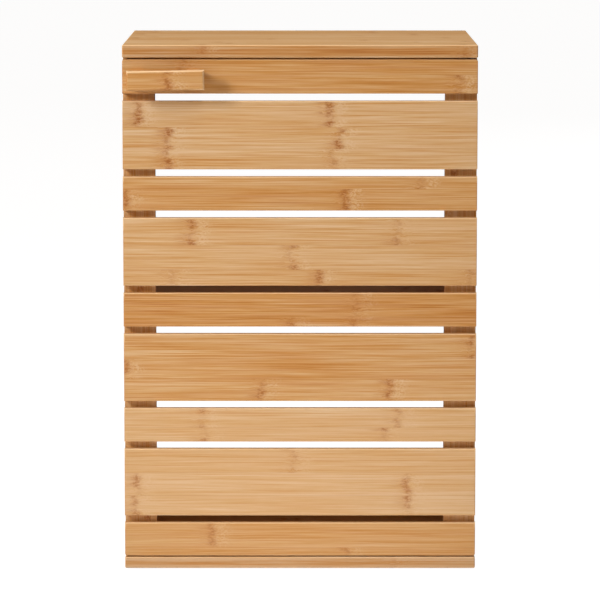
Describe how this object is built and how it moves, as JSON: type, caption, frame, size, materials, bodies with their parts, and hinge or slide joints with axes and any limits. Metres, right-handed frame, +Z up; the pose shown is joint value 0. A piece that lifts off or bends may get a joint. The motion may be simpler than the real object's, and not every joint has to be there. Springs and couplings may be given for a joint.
{
  "type": "slatted bamboo cabinet",
  "caption": "Bamboo cabinet for laundry or towels: a slatted side-hung door with a bar handle, an inner shelf, ventilating gaps and an open back.",
  "frame": {"origin": "centre of the bounding box's footprint, at floor level under the foot pads", "axes": "+X to the right of someone facing the door, +Y from the door to the open back, +Z up"},
  "size_m": [0.4, 0.3228, 0.6],
  "materials": {
    "board_bamboo": "satin varnish",
    "panel_bamboo": "satin varnish",
    "slat_bamboo": "satin varnish",
    "stile_bamboo": "satin varnish",
    "handle_bamboo": "satin varnish",
    "dowel_beech": "raw",
    "cam_zinc": "die-cast zinc",
    "zinc_steel": "zinc plated",
    "bush_nylon": "smooth moulded",
    "catch_plastic": "fine-textured moulded",
    "magnet_ferrite": "sintered",
    "foot_felt": "pressed felt",
    "bumper_rubber": "matte"
  },
  "bodies": {
    "cabinet": {"top_board": "board_bamboo", "bottom_board": "board_bamboo", "left_side_panel": "panel_bamboo", "right_side_panel": "panel_bamboo", "shelf": "panel_bamboo", "top_back_rail": "panel_bamboo", "bottom_back_rail": "panel_bamboo", "top_dowels": "dowel_beech", "rail_dowels": "dowel_beech", "cam_discs": "cam_zinc", "cam_bolts": "zinc_steel", "bottom_screws": "zinc_steel", "shelf_pins": "zinc_steel", "foot_pad_front_left": "foot_felt", "foot_pad_front_right": "foot_felt", "foot_pad_rear_left": "foot_felt", "foot_pad_rear_right": "foot_felt", "upper_pivot_bush": "bush_nylon", "lower_pivot_bush": "bush_nylon", "catch_housing": "catch_plastic", "catch_magnet": "magnet_ferrite", "catch_pole_plates": "zinc_steel", "catch_screws": "zinc_steel", "upper_door_bumper": "bumper_rubber", "lower_door_bumper": "bumper_rubber"},
    "door": {"slat_1": "slat_bamboo", "slat_2": "slat_bamboo", "slat_3": "slat_bamboo", "slat_4": "slat_bamboo", "slat_5": "slat_bamboo", "slat_6": "slat_bamboo", "slat_7": "slat_bamboo", "slat_8": "slat_bamboo", "slat_9": "slat_bamboo", "latch_stile": "stile_bamboo", "hinge_stile": "stile_bamboo", "slat_screws": "zinc_steel", "handle_bar": "handle_bamboo", "handle_left_post": "handle_bamboo", "handle_right_post": "handle_bamboo", "handle_screws": "zinc_steel", "upper_pivot_pin": "zinc_steel", "lower_pivot_pin": "zinc_steel", "strike_plate": "zinc_steel", "strike_screw": "zinc_steel"}
  },
  "joints": [
    {"name": "door_swing", "type": "hinge", "parent": "cabinet", "child": "door", "pos_m": [0.194, -0.1244, 0.3], "axis": [0, 0, 1], "range_deg": [0, 110]}
  ]
}
